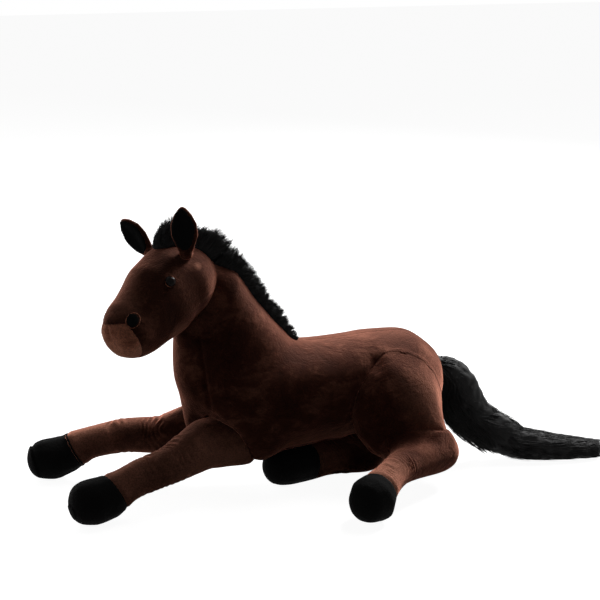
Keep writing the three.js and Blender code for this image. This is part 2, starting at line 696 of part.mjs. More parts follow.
// Forelegs: cover, hoof and filling
function hoofSeam(rows, index, share) {
  const from = rows[index].at;
  const to = rows[index + 1].at;
  return [from.clone().lerp(to, share), to.clone().sub(from)];
}
const openRoot = (pivot, radius, inward) =>
  ball(pivot.clone().addScaledVector(inward, radius * 0.9), radius * 0.6, smallSides);
for (const side of sides) {
  const name = nameOf(side);
  const root = openRoot(shoulder(side), shoulderRadius, vec(0.6, -side * 0.8, 0));
  const wall = onFloor(cut(forelegForm(side, 0), forelegForm(side, -plush, coarse), root));
  const [cover, hoof] = parted(wall, ...hoofSeam(forelegRows(side), 6, forelegHoofShare));
  add(`${name}_foreleg_cover`, cover, brown);
  add(`${name}_fore_hoof`, hoof, black);
  add(`${name}_foreleg_filling`, forelegForm(side, -plush - gap, coarse), fibre);
}

// Hind legs: thigh with gaskin, cannon, hoof and two fillings
for (const side of sides) {
  const name = nameOf(side);
  const hockHollow = socket(hock(side), hockRadius);
  const hockSweep = swingHollow(cannonRows(side).slice(0, 5), hock(side), up, -hockSwingDeg, hockSwingDeg);
  const inward = openRoot(hip(side), thighThickness * 0.5, vec(0, -side, 0));
  const thigh = onFloor(cut(legForm(side, 0), legForm(side, -plush, coarse), inward, hockHollow, hockSweep));
  const hockCore = ball(hock(side), hockRadius + plush * 2, smallSides);
  const top = openRoot(hock(side), hockRadius, vec(0, 0, 1));
  const wall = onFloor(cut(cannonForm(side, 0), cannonForm(side, -plush, coarse), top));
  const [cover, hoof] = parted(wall, ...hoofSeam(cannonRows(side), 4, cannonHoofShare));
  add(`${name}_thigh_cover`, thigh, brown);
  add(`${name}_thigh_filling`, cut(legForm(side, -plush - gap, coarse), hockCore, hockSweep), fibre);
  add(`${name}_cannon_cover`, cover, brown);
  add(`${name}_cannon_filling`, onFloor(cannonForm(side, -plush - gap, coarse)), fibre);
  add(`${name}_hind_hoof`, hoof, black);
}

// Tail: the hanging part and the part along the floor
const tailSweep = swingHollow(tailEndRows.slice(0, 3), bend, up, -tailSwingDeg, tailSwingDeg);
add("tail_top", onFloor(cut(tailTopForm, socket(bend, bendRadius), tailSweep)), hair);
add("tail_end", onFloor(tailEndForm), hair);

// The origin is on the floor, under the middle of the whole.
const box = new THREE.Box3().setFromObject(horse);
const middle = box.getCenter(vec(0, 0, 0));
horse.position.set(-middle.x, -middle.y, -box.min.z);

export default horse;
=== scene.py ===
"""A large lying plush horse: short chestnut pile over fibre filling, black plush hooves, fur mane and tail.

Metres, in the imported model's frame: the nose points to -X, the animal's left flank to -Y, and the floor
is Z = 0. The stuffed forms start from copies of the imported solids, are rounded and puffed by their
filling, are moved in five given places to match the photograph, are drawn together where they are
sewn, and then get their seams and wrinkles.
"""
import json
import math

import bmesh
import bpy
import numpy as np
from mathutils import Matrix, Vector, noise
from mathutils.bvhtree import BVHTree


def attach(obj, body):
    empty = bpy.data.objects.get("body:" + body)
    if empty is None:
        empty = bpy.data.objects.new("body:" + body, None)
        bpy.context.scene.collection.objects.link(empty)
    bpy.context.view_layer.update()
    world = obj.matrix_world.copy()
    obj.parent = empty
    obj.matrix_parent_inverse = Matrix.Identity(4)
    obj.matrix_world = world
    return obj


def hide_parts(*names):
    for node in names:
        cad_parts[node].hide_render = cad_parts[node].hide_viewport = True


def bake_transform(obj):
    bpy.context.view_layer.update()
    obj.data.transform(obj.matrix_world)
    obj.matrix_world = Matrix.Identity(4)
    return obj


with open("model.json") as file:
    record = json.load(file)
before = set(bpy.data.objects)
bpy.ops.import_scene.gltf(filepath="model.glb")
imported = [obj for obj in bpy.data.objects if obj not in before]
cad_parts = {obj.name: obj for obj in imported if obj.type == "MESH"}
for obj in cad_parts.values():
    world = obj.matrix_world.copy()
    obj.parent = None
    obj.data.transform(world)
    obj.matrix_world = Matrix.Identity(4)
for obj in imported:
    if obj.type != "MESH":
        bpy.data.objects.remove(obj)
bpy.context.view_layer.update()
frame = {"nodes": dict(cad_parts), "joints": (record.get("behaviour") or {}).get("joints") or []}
scene = bpy.context.scene
joint_at = {joint["name"]: Vector(joint["pos_m"]) for joint in frame["joints"]}
MM = 0.001
UP = Vector((0, 0, 1))
SIDES = ("left", "right")

# The drawing's origin in this frame, in millimetres
ORIGIN = Vector((-33.326, 49.886, 0))


def at(x, y, z):
    """A place of the drawing, which is in millimetres, in this frame."""
    return (ORIGIN + Vector((x, y, z))) * MM


# Camera, floor and lights


def add_camera():
    turn, tilt = math.radians(-18), math.radians(14)
    lens = bpy.data.cameras.new("photo_camera")
    lens.lens = 100
    lens.sensor_width = 36
    lens.clip_end = 20
    camera = bpy.data.objects.new("photo_camera", lens)
    camera.location = at(-632.8, -1947.5, 743.1)
    camera.rotation_euler = (math.pi / 2 - tilt, 0, turn)
    scene.collection.objects.link(camera)
    scene.camera = camera


def white_for_camera(tree, plain, white, kind):
    """The camera, reflections and clear things see the white shader, and light meets the plain one."""
    path = tree.nodes.new("ShaderNodeLightPath")
    seen = path.outputs["Is Camera Ray"]
    for ray in ("Is Glossy Ray", "Is Transmission Ray"):
        either = tree.nodes.new("ShaderNodeMath")
        either.operation = "MAXIMUM"
        tree.links.new(seen, either.inputs[0])
        tree.links.new(path.outputs[ray], either.inputs[1])
        seen = either.outputs[0]
    mix = tree.nodes.new("ShaderNodeMixShader")
    tree.links.new(seen, mix.inputs["Fac"])
    tree.links.new(plain, mix.inputs[1])
    tree.links.new(white, mix.inputs[2])
    out = tree.nodes.new(kind)
    tree.links.new(mix.outputs[0], out.inputs["Surface"])


def add_floor():
    bpy.ops.mesh.primitive_plane_add(size=16, location=(0, 0, -0.0006))
    floor = bpy.context.object
    floor.name = "floor"
    paint = bpy.data.materials.new("floor_white")
    paint.use_nodes = True
    tree = paint.node_tree
    tree.nodes.clear()
    matt = tree.nodes.new("ShaderNodeBsdfDiffuse")
    matt.inputs["Color"].default_value = (0.2, 0.2, 0.2, 1)
    glow = tree.nodes.new("ShaderNodeEmission")
    glow.inputs["Strength"].default_value = 0.95
    shade = tree.nodes.new("ShaderNodeBsdfDiffuse")
    shade.inputs["Color"].default_value = (0.3, 0.3, 0.3, 1)
    lit = tree.nodes.new("ShaderNodeAddShader")
    tree.links.new(glow.outputs[0], lit.inputs[0])
    tree.links.new(shade.outputs[0], lit.inputs[1])
    white_for_camera(tree, matt.outputs[0], lit.outputs[0], "ShaderNodeOutputMaterial")
    floor.data.materials.append(paint)


def add_sky():
    sky = bpy.data.worlds.new("studio")
    scene.world = sky
    sky.use_nodes = True
    tree = sky.node_tree
    tree.nodes.clear()
    soft = tree.nodes.new("ShaderNodeBackground")
    soft.inputs["Strength"].default_value = 0.016
    white = tree.nodes.new("ShaderNodeBackground")
    white.inputs["Color"].default_value = (1, 1, 1, 1)
    white_for_camera(tree, soft.outputs[0], white.outputs[0], "ShaderNodeOutputWorld")


def add_lamp(name, place, aim, size, watts):
    lamp = bpy.data.lights.new(name, "AREA")
    lamp.shape = "DISK"
    lamp.size = size
    lamp.energy = watts
    holder = bpy.data.objects.new(name, lamp)
    holder.location = place
    holder.rotation_euler = (Vector(aim) - Vector(place)).to_track_quat("-Z", "Y").to_euler()
    scene.collection.objects.link(holder)


def add_lights():
    add_lamp("window_behind", (1.3, 1.0, 1.5), (0.05, 0, 0.12), 1.0, 80)
    add_lamp("top_soft", (0.9, 0.3, 1.9), (0.05, 0, 0), 0.8, 10)
    add_lamp("backdrop", (-0.9, 2.2, 0.9), (0, 0, 0.15), 2.0, 30)
    add_lamp("front_fill", (-2.2, 0.1, 0.5), (-0.1, 0, 0.15), 1.2, 3.8)


# Materials


class Shade:
    """A node material that is built up a socket at a time."""

    def __init__(self, name, roughness, **sockets):
        self.material = bpy.data.materials.new(name)
        self.material.use_nodes = True
        self.tree = self.material.node_tree
        self.shader = self.tree.nodes["Principled BSDF"]
        self.shader.inputs["Roughness"].default_value = roughness
        for socket, value in sockets.items():
            self.shader.inputs[socket.replace("_", " ")].default_value = value
        self.place = self.add("ShaderNodeTexCoord").outputs["Object"]

    def add(self, kind, **settings):
        node = self.tree.nodes.new(kind)
        for setting, value in settings.items():
            setattr(node, setting, value)
        return node

    def link(self, source, target):
        self.tree.links.new(source, target)

    def noise(self, scale, detail=3.0, roughness=0.55, stretch=None, distortion=0.0):
        texture = self.add("ShaderNodeTexNoise")
        texture.inputs["Scale"].default_value = scale
        texture.inputs["Detail"].default_value = detail
        texture.inputs["Roughness"].default_value = roughness
        texture.inputs["Distortion"].default_value = distortion
        place = self.place
        if stretch:
            mapping = self.add("ShaderNodeMapping")
            mapping.inputs["Scale"].default_value = stretch
            self.link(self.place, mapping.inputs["Vector"])
            place = mapping.outputs[0]
        self.link(place, texture.inputs["Vector"])
        return texture.outputs["Fac"]

    def ramp(self, source, *stops):
        """stops are (position, (r, g, b)) pairs."""
        ramp = self.add("ShaderNodeValToRGB")
        first, *between, last = stops
        for element, (position, colour) in zip(ramp.color_ramp.elements, (first, last)):
            element.position = position
            element.color = (*colour, 1)
        for position, colour in between:
            ramp.color_ramp.elements.new(position).color = (*colour, 1)
        self.link(source, ramp.inputs[0])
        return ramp.outputs[0]

    def mix(self, factor, a, b, blend="MIX"):
        node = self.add("ShaderNodeMix", data_type="RGBA", blend_type=blend)
        for socket, value in ((node.inputs[0], factor), (node.inputs[6], a), (node.inputs[7], b)):
            if hasattr(value, "links"):
                self.link(value, socket)
            elif isinstance(value, tuple):
                socket.default_value = (*value, 1)
            else:
                socket.default_value = value
        return node.outputs[2]

    def math(self, operation, a, b):
        node = self.add("ShaderNodeMath", operation=operation)
        for socket, value in zip(node.inputs, (a, b)):
            if hasattr(value, "links"):
                self.link(value, socket)
            else:
                socket.default_value = value
        return node.outputs[0]

    def colour(self, source):
        self.link(source, self.shader.inputs["Base Color"])

    def bump(self, height, distance, strength=1.0, under=None):
        bump = self.add("ShaderNodeBump")
        bump.inputs["Distance"].default_value = distance
        bump.inputs["Strength"].default_value = strength
        self.link(height, bump.inputs["Height"])
        if under is not None:
            self.link(under, bump.inputs["Normal"])
        self.link(bump.outputs[0], self.shader.inputs["Normal"])
        return bump.outputs[0]


def plush_shade(name, deep, middle, brushed, sheen, tint, painted_highlights=()):
    """Short pile, darker where it lies one way and lighter where it is brushed the other.

    The places given last, with a radius and a strength each, get painted highlights: the pile is painted
    lighter there.
    """
    shade = Shade(name, 0.9, Specular_IOR_Level=0.04, Sheen_Weight=sheen, Sheen_Roughness=0.42,
                  Sheen_Tint=(*tint, 1))
    nap = shade.noise(17, 5, 0.62, distortion=0.5)
    streak = shade.noise(75, 4, 0.7, stretch=(0.5, 0.7, 1.0), distortion=0.8)
    grain = shade.noise(560, 2, 0.6)
    tone = shade.math("ADD", shade.math("MULTIPLY", nap, 0.7), shade.math("MULTIPLY", streak, 0.3))
    body = shade.ramp(tone, (0.42, deep), (0.52, middle), (0.62, brushed))
    # Painted highlights: near each given place the pile is mixed towards the painted highlight colour
    for place, radius, strength in painted_highlights:
        away = shade.add("ShaderNodeVectorMath", operation="DISTANCE")
        shade.link(shade.place, away.inputs[0])
        away.inputs[1].default_value = place
        patch = shade.math("ADD", shade.math("DIVIDE", away.outputs["Value"], radius),
                           shade.math("SUBTRACT", 0.5, tone))
        near = shade.ramp(patch, (0.3, (strength,) * 3), (1.0, (0, 0, 0)))
        body = shade.mix(near, body, PAINTED_HIGHLIGHT)
    tips = shade.ramp(grain, (0.3, (0.6, 0.6, 0.6)), (0.72, (1.35, 1.35, 1.35)))
    shade.colour(shade.mix(1.0, body, tips, "MULTIPLY"))
    soft = shade.bump(tone, 6 * MM, 0.6)
    shade.bump(grain, 0.8 * MM, 0.7, soft)
    return shade.material


def fur_shade():
    shade = Shade("black_fur", 0.6, Specular_IOR_Level=0.1)
    tone = shade.noise(95, 3, 0.6)
    shade.colour(shade.ramp(tone, (0.35, (0.001, 0.0009, 0.0009)), (0.7, (0.0035, 0.003, 0.003))))
    return shade.material


def eye_shade():
    shade = Shade("eye_gloss", 0.1, Specular_IOR_Level=0.035)
    ring = shade.noise(420, 1, 0.4)
    shade.colour(shade.ramp(ring, (0.4, (0.004, 0.002, 0.002)), (0.7, (0.016, 0.007, 0.005))))
    return shade.material


def washer_shade():
    shade = Shade("washer_plastic", 0.45)
    cloud = shade.noise(300, 2, 0.5)
    shade.colour(shade.ramp(cloud, (0.4, (0.62, 0.62, 0.6)), (0.65, (0.72, 0.72, 0.7))))
    shade.bump(cloud, 0.05 * MM, 0.5)
    return shade.material


BROWNS = (0.014, 0.003, 0.0014), (0.036, 0.0092, 0.0048), (0.12, 0.045, 0.028), 1.0, (1.0, 0.41, 0.28)
# The colour of the painted highlights on the chestnut pile
PAINTED_HIGHLIGHT = (0.3, 0.13, 0.085)
CHESTNUT = plush_shade("chestnut_plush", *BROWNS)
PALE = plush_shade("pale_plush", (0.26, 0.085, 0.048), (0.5, 0.19, 0.115), (0.72, 0.32, 0.21),
                   1.0, (1.0, 0.52, 0.38))
BLACK = plush_shade("black_plush", (0.0006, 0.0005, 0.0005), (0.0009, 0.0008, 0.0008),
                    (0.0016, 0.0014, 0.0014), 0.002, (0.5, 0.45, 0.45))
FUR = fur_shade()
GLOSS = eye_shade()
WASHER = washer_shade()

# Mesh helpers


def new_piece(name, form, material):
    mesh = bpy.data.meshes.new(name)
    form.to_mesh(mesh)
    form.free()
    piece = bpy.data.objects.new(name, mesh)
    scene.collection.objects.link(piece)
    mesh.materials.append(material)
    mesh.polygons.foreach_set("use_smooth", [True] * len(mesh.polygons))
    return piece


def copied(name, nodes, material):
    """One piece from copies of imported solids, with their doubles merged."""
    form = bmesh.new()
    for node in nodes:
        form.from_mesh(frame["nodes"][node].data)
    bmesh.ops.remove_doubles(form, verts=form.verts, dist=0.002 * MM)
    return new_piece(name, form, material)


def places(piece):
    found = np.empty(len(piece.data.vertices) * 3)
    piece.data.vertices.foreach_get("co", found)
    return found.reshape(-1, 3)


def outwards(piece):
    found = np.empty(len(piece.data.vertices) * 3, np.float32)
    piece.data.vertex_normals.foreach_get("vector", found)
    return found.reshape(-1, 3).astype(float)


def move_to(piece, where):
    piece.data.vertices.foreach_set("co", np.asarray(where, np.float32).ravel())
    piece.data.update()


def swollen(piece, by):
    move_to(piece, places(piece) + outwards(piece) * by)


def settle(piece):
    """Applies the piece's modifiers."""
    view = bpy.context.evaluated_depsgraph_get()
    mesh = bpy.data.meshes.new_from_object(piece.evaluated_get(view))
    old = piece.data
    piece.modifiers.clear()
    piece.data = mesh
    name = old.name
    bpy.data.meshes.remove(old)
    mesh.name = name
    mesh.polygons.foreach_set("use_smooth", [True] * len(mesh.polygons))


def filled(piece, rounds=150, times=3):
    """Fills a skin's valleys and leaves its heights."""
    for _ in range(times):
        before, out = places(piece), outwards(piece)
        soft = piece.modifiers.new("soft", "SMOOTH")
        soft.factor = 0.5
        soft.iterations = rounds
        settle(piece)
        rise = ((places(piece) - before) * out).sum(1)
        move_to(piece, before + out * np.maximum(rise, 0)[:, None])


def largest_only(piece):
    """Drops the pockets inside a skin."""
    form = bmesh.new()
    form.from_mesh(piece.data)
    left = set(form.verts)
    islands = []
    while left:
        island, front = set(), [left.pop()]
        while front:
            vert = front.pop()
            island.add(vert)
            for edge in vert.link_edges:
                other = edge.other_vert(vert)
                if other in left:
                    left.remove(other)
                    front.append(other)
        islands.append(island)
    islands.sort(key=len)
    for island in islands[:-1]:
        bmesh.ops.delete(form, geom=list(island), context="VERTS")
    form.to_mesh(piece.data)
    form.free()


def skinned(piece, voxel):
    """Closes what the piece holds into one skin."""
    remesh = piece.modifiers.new("skin", "REMESH")
    remesh.mode = "VOXEL"
    remesh.voxel_size = voxel
    settle(piece)
    largest_only(piece)


def rounded(piece, voxel, rounds, swell=0.0, close=0.0):
    """Makes one skin and takes its facets off. Gaps up to twice close are filled."""
    skinned(piece, voxel)
    if close:
        swollen(piece, close)
        skinned(piece, voxel)
        swollen(piece, -close)
    soft = piece.modifiers.new("soft", "SMOOTH")
    soft.factor = 0.5
    soft.iterations = rounds
    settle(piece)
    if swell:
        swollen(piece, swell)


def puffed(pieces, pressure=4.0, frames=20, cap=3.5 * MM):
    """The filling's pressure, on every piece at once."""
    start = {}
    for piece in pieces:
        cloth = piece.modifiers.new("filling", "CLOTH")
        cloth.settings.use_pressure = True
        cloth.settings.uniform_pressure_force = pressure
        cloth.settings.effector_weights.gravity = 0
        cloth.settings.quality = 4
        cloth.settings.tension_stiffness = 20
        cloth.settings.compression_stiffness = 20
        cloth.settings.shear_stiffness = 8
        cloth.settings.bending_stiffness = 1.5
        cloth.collision_settings.use_collision = False
        cloth.collision_settings.use_self_collision = False
        cloth.point_cache.frame_end = frames
        start[piece.name] = places(piece)
    for number in range(1, frames + 1):
        scene.frame_set(number)
    view = bpy.context.evaluated_depsgraph_get()
    for piece in pieces:
        mesh = piece.evaluated_get(view).to_mesh()
        end = np.empty(len(mesh.vertices) * 3)
        mesh.vertices.foreach_get("co", end)
        move = end.reshape(-1, 3) - start[piece.name]
        reach = np.linalg.norm(move, axis=1, keepdims=True)
        move *= np.minimum(1, cap / np.maximum(reach, 1e-9))
        piece.evaluated_get(view).to_mesh_clear()
        piece.modifiers.clear()
        move_to(piece, start[piece.name] + move)
    scene.frame_set(1)


def refined(piece, levels=1):
    divide = piece.modifiers.new("fine", "SUBSURF")
    divide.levels = levels
    divide.render_levels = levels
    settle(piece)


def step(value, low, high):
    share = np.clip((value - low) / (high - low), 0, 1)
    return share * share * (3 - 2 * share)


def ridge(value, width):
    return np.exp(-(value / width) ** 2)


def rough(where, size, seed=0.0):
    """Smooth noise at each place, from -1 to 1, for features of about that size."""
    shift = Vector((seed, seed * 0.7, -seed))
    return np.array([noise.noise(Vector(place) / size + shift) for place in where])


def nearest(where, target):
    """The target's nearest place and outward direction for each place."""
    tree = BVHTree.FromObject(target, bpy.context.evaluated_depsgraph_get())
    found = [tree.find_nearest(Vector(place)) for place in where]
    return np.array([hit[0] for hit in found]), np.array([hit[1] for hit in found])


def drawn_to(piece, target, reach, spare=0.35 * MM, share=None):
    """Sews a skin up to a neighbour's: near places go on to it, and none is left inside it."""
    where = places(piece)
    low, high = places(target).min(0) - reach, places(target).max(0) + reach
    near = np.flatnonzero(((where > low) & (where < high)).all(1))
    spot, normal = nearest(where[near], target)
    height = ((where[near] - spot) * normal).sum(1)
    far = np.linalg.norm(where[near] - spot, axis=1)
    pull = 1 - step(np.maximum(height, far), 0.4 * reach, reach)
    if share is not None:
        pull = pull * share(where[near])
    pull = np.where((height < spare) & (far < 3 * reach), 1, pull)
    where[near] += (spot + normal * spare - where[near]) * pull[:, None]
    move_to(piece, where)


def plane_seam(piece, point, direction, depth, width, share=None):
    """Draws the skin in along a plane."""
    where = places(piece)
    away = (where - np.array(point)) @ np.array(Vector(direction).normalized())
    pull = depth * ridge(away, width)
    if share is not None:
        pull = pull * share(where)
    move_to(piece, where - outwards(piece) * pull[:, None])


def cut_at(piece, point, direction, keep):
    """Keeps one side of a plane, and closes the cut with sharp edges."""
    form = bmesh.new()
    form.from_mesh(piece.data)
    everything = form.verts[:] + form.edges[:] + form.faces[:]
    cut = bmesh.ops.bisect_plane(form, geom=everything, plane_co=point, plane_no=direction,
                                 clear_outer=keep == "short", clear_inner=keep == "beyond")
    rim = [part for part in cut["geom_cut"] if isinstance(part, bmesh.types.BMEdge) and part.is_boundary]
    bmesh.ops.holes_fill(form, edges=rim, sides=0)
    for edge in rim:
        edge.smooth = False
    form.to_mesh(piece.data)
    form.free()


def duplicate(piece, name, material):
    twin = bpy.data.objects.new(name, piece.data.copy())
    twin.data.name = name
    scene.collection.objects.link(twin)
    twin.data.materials.clear()
    twin.data.materials.append(material)
    return twin


def carve(piece, tool, operation):
    boolean = piece.modifiers.new("carve", "BOOLEAN")
    boolean.operation = operation
    boolean.solver = "EXACT"
    boolean.object = tool
    settle(piece)


def declared(piece, nodes, body=None):
    if body:
        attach(piece, body)
    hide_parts(*nodes)


# Stuffed forms
TORSO_NODES = ["left_torso_panel", "right_torso_panel", "chest_gusset", "left_neck_panel",
               "right_neck_panel", "throat_gusset", "body_filling"]
HEAD_NODES = ["left_head_panel", "right_head_panel", "muzzle_panel", "head_filling"]
THIGH = ("thigh_cover", "thigh_filling")
HIND_LEG = THIGH + ("cannon_cover", "cannon_filling")


def nodes_of(side, *names):
    return [f"{side}_{name}" for name in names]


torso = copied("body_plush", TORSO_NODES, CHESTNUT)
rounded(torso, 4 * MM, rounds=80, swell=2.0 * MM)
head = copied("head_plush", HEAD_NODES, CHESTNUT)
rounded(head, 3 * MM, rounds=36, swell=1.1 * MM)
forelegs, hind_legs = {}, {}
for side in SIDES:
    forelegs[side] = copied(f"{side}_foreleg_plush",
                            nodes_of(side, "foreleg_cover", "fore_hoof", "foreleg_filling"), CHESTNUT)
    rounded(forelegs[side], 3 * MM, rounds=20, swell=1.0 * MM)
    hind_legs[side] = copied(f"{side}_hind_leg_plush", nodes_of(side, *HIND_LEG, "hind_hoof"), CHESTNUT)
    rounded(hind_legs[side], 3.2 * MM, rounds=24, swell=0.8 * MM, close=9 * MM)

# The form that the flanks and the haunches would have as one skin
haunches = copied("haunches", TORSO_NODES + nodes_of("left", *THIGH) + nodes_of("right", *THIGH), CHESTNUT)
rounded(haunches, 4 * MM, rounds=80, swell=2.0 * MM, close=24 * MM)
filled(haunches)
rounded(haunches, 4 * MM, rounds=30, swell=0.6 * MM)

stuffed = [torso, head, *forelegs.values(), *hind_legs.values(), haunches]
puffed(stuffed)
for piece in stuffed:
    refined(piece)

# The haunches run smoothly into the rump, around and behind the hips
hip = at(108, 0, 97)


def behind_hips(where):
    """How far a place is in the region around and behind the hips, from 0 to 1."""
    ahead = hip.x - where[:, 0] + 0.35 * (hip.z - where[:, 2])
    return (1 - step(ahead, -14 * MM, 12 * MM)) * step(where[:, 2], 45 * MM, 65 * MM)


def laid_on(piece, cover, shallow=15 * MM, deep=24 * MM):
    """Brings a skin up to a cover just above it, around and behind the hips."""
    where = places(piece)
    share = behind_hips(where)
    near = np.flatnonzero((share > 0) & (where[:, 0] < at(196, 0, 0).x))
    spot, normal = nearest(where[near], cover)
    depth = ((spot - where[near]) * normal).sum(1)
    pull = share[near] * (1 - step(depth, shallow, deep)) * (depth > -3 * MM)
    where[near] += (spot - where[near]) * pull[:, None]
    move_to(piece, where)


def flattened_behind(piece, by=8 * MM):
    """Brings the rump's rear in, where the tail hangs in front of it."""
    where = places(piece)
    share = step(where[:, 0], at(148, 0, 0).x, at(188, 0, 0).x) * step(where[:, 2], 60 * MM, 85 * MM)
    where[:, 0] -= by * share
    move_to(piece, where)


laid_on(torso, haunches, shallow=60 * MM, deep=85 * MM)
for leg in hind_legs.values():
    laid_on(leg, haunches)
for piece in (torso, *hind_legs.values()):
    flattened_behind(piece)
bpy.data.objects.remove(haunches)


def tugged(piece, middle, radius, by, top=1.0):
    """Moves what is near a place and below a height, most at the place itself."""
    where = places(piece)
    far = np.linalg.norm(where - np.array(middle), axis=1)
    share = (1 - step(far, 0, radius)) * (1 - step(where[:, 2], top - 18 * MM, top))
    where += np.array(by) * MM * share[:, None]
    where[:, 2] = np.maximum(where[:, 2], -0.5 * MM)
    move_to(piece, where)


# Listed moves: the middle in the drawing, how far around it they reach and where to, in millimetres
for piece, middle, radius, by in ((forelegs["left"], (-84, -46, 54), 34, (9, -2, -10)),
                                  (torso, (-68, -56, 48), 42, (0, -5, -12)),
                                  (torso, (46, 5, 50), 42, (0, 0, -6)),
                                  (head, (-187, -12, 312), 36, (0, 0, 5))):
    tugged(piece, at(*middle), radius * MM, by)
tugged(hind_legs["right"], at(92, 8, 6), 64 * MM, (0, -30, 0), top=34 * MM)

drawn_to(torso, head, reach=26 * MM)
for side in SIDES:
    drawn_to(torso, forelegs[side], reach=9 * MM)
    drawn_to(torso, hind_legs[side], reach=6 * MM, share=lambda where: 1 - behind_hips(where))

# Seams: the edges of the chest and throat gussets, and the back and belly behind the withers
GUSSET_WAY = Vector((-1, 0, -0.1)).normalized()
GUSSET_SEAM = {"depth": 2.2 * MM, "width": 2.6 * MM}


def gusset_edge(node):
    """How far ahead a gusset starts."""
    return min(vert.co.dot(GUSSET_WAY) for vert in frame["nodes"][node].data.vertices)


def behind_withers(where):
    return step(where[:, 0], at(0, 0, 0).x, at(20, 0, 0).x)


def level_with(low, high):
    """A share that is whole between two heights of the drawing."""
    return lambda where: step(where[:, 2], low - 6 * MM, low) * (1 - step(where[:, 2], high, high + 6 * MM))


chest_edge, throat_edge = gusset_edge("chest_gusset"), gusset_edge("throat_gusset")
chest_top = max(vert.co.z for vert in frame["nodes"]["chest_gusset"].data.vertices)
plane_seam(torso, GUSSET_WAY * chest_edge, GUSSET_WAY, share=level_with(0, chest_top), **GUSSET_SEAM)
plane_seam(torso, GUSSET_WAY * throat_edge, GUSSET_WAY, share=level_with(chest_top, 1), **GUSSET_SEAM)
plane_seam(torso, at(0, 0, 0), (0, 1, 0), depth=0.8 * MM, width=1.8 * MM, share=behind_withers)


def pastern(cover, hoof):
    """Where a cover meets its hoof: the middle of what they share, and the way across."""
    lower = frame["nodes"][hoof].data.vertices
    tree = BVHTree.FromObject(frame["nodes"][cover], bpy.context.evaluated_depsgraph_get())
    rim = [vert.co for vert in lower if tree.find_nearest(vert.co)[3] < 0.6 * MM]
    middle = sum(rim, Vector()) / len(rim)
    spread = np.array([list(place - middle) for place in rim])
    way = Vector(np.linalg.svd(spread)[2][2])
    centre = sum((vert.co for vert in lower), Vector()) / len(lower)
    if way.dot(centre - middle) < 0:
        way = -way
    return middle, way


PASTERN_ZONE = 60 * MM  # skin further from a pastern than this belongs to another part of the leg
TUCK = 4  # millimetres of a leg's end that lie inside its hoof
SLIMMED = 1.6 * MM  # how much that end is drawn in


def hoofed(leg, cover, hoof_node, body, slide, fuller):
    """Parts a leg's skin at the pastern: brown plush above, and a black hoof below that holds its end.

    slide moves the pastern towards the hoof's end, and fuller swells or slims the hoof.
    """
    point, way = pastern(cover, hoof_node)
    where = places(leg)
    away = (where - np.array(point)) @ np.array(way)
    share = step(away, -40 * MM, 0) * (1 - step(away, 0, 44 * MM))
    share *= np.linalg.norm(where - np.array(point), axis=1) < PASTERN_ZONE
    move_to(leg, where + np.array(way) * slide * share[:, None])
    point = point + way * slide
    hoof = duplicate(leg, hoof_node + "_plush", BLACK)
    cut_at(hoof, point, way, "beyond")
    cut_at(leg, point + way * TUCK * MM, way, "short")
    for piece, fullness in ((leg, 0.0), (hoof, fuller)):
        where = places(piece)
        past = (where - np.array(point)) @ np.array(way)
        away = np.abs(past)
        lift = fullness * step(away, 0, 7 * MM) - 1.5 * MM * ridge(away, 2.5 * MM)
        if piece is leg:
            lift -= SLIMMED * step(past, -0.5 * MM, 2 * MM)
        lift *= step(where[:, 2], 0, 12 * MM)
        lift *= np.linalg.norm(where - np.array(point), axis=1) < PASTERN_ZONE
        move_to(piece, where + outwards(piece) * lift[:, None])
    declared(hoof, [hoof_node], body)
    return point


def wrinkled(piece, start, way, first, last, depth, pitch, seed):
    """Folds across a leg between two distances from its joint."""
    where = places(piece)
    along = (where - np.array(start)) @ np.array(way)
    beside = np.linalg.norm(where - np.array(start) - along[:, None] * np.array(way), axis=1)
    zone = step(along, first, first + 14 * MM) * (1 - step(along, last - 14 * MM, last))
    zone *= 1 - step(beside, 32 * MM, 38 * MM)
    busy = np.flatnonzero(zone > 0.01)
    drift = rough(where[busy], 26 * MM, seed)
    patch = np.clip(rough(where[busy], 28 * MM, seed + 5) * 2.4 + 0.3, 0, 1)
    fold = np.sin(2 * math.pi * (along[busy] / pitch + drift * 2.0))
    push = depth * fold * zone[busy] * patch
    where[busy] += outwards(piece)[busy] * push[:, None]
    move_to(piece, where)


# How much each fore hoof is slimmed, and where the forelegs' pile gets painted highlights
FORE_HOOF = {"left": -0.8 * MM, "right": -2.6 * MM}
FORE_PAINTED_HIGHLIGHTS = {"left": [(at(-147, -77, 52), 0.06, 0.85), (at(-95, -52, 48), 0.05, 0.7)], "right": []}
for side in SIDES:
    leg = forelegs[side]
    point = hoofed(leg, f"{side}_foreleg_cover", f"{side}_fore_hoof", f"{side}_foreleg", slide=0,
                   fuller=FORE_HOOF[side])
    # Painted highlights on the foreleg, and a broad one round its pastern
    painted_highlights = FORE_PAINTED_HIGHLIGHTS[side] + [(point, 0.12, 0.5)]
    leg.data.materials[0] = plush_shade(f"{side}_foreleg_chestnut", *BROWNS, painted_highlights=painted_highlights)
    shoulder = joint_at[f"{side}_shoulder_lift"]
    down = (point - shoulder).normalized()
    wrinkled(leg, shoulder, down, first=48 * MM, last=135 * MM, depth=0.9 * MM, pitch=8 * MM, seed=2.0)
    declared(leg, nodes_of(side, "foreleg_cover", "foreleg_filling"))
    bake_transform(leg)

# The way in which the hoof is furthest past the thigh, and where the hind leg starts and ends its bend
HIND_BENDS = {"left": ((-0.571, -0.731, -0.375), 47, 112), "right": ((-0.71, -0.596, -0.375), 54, 134)}
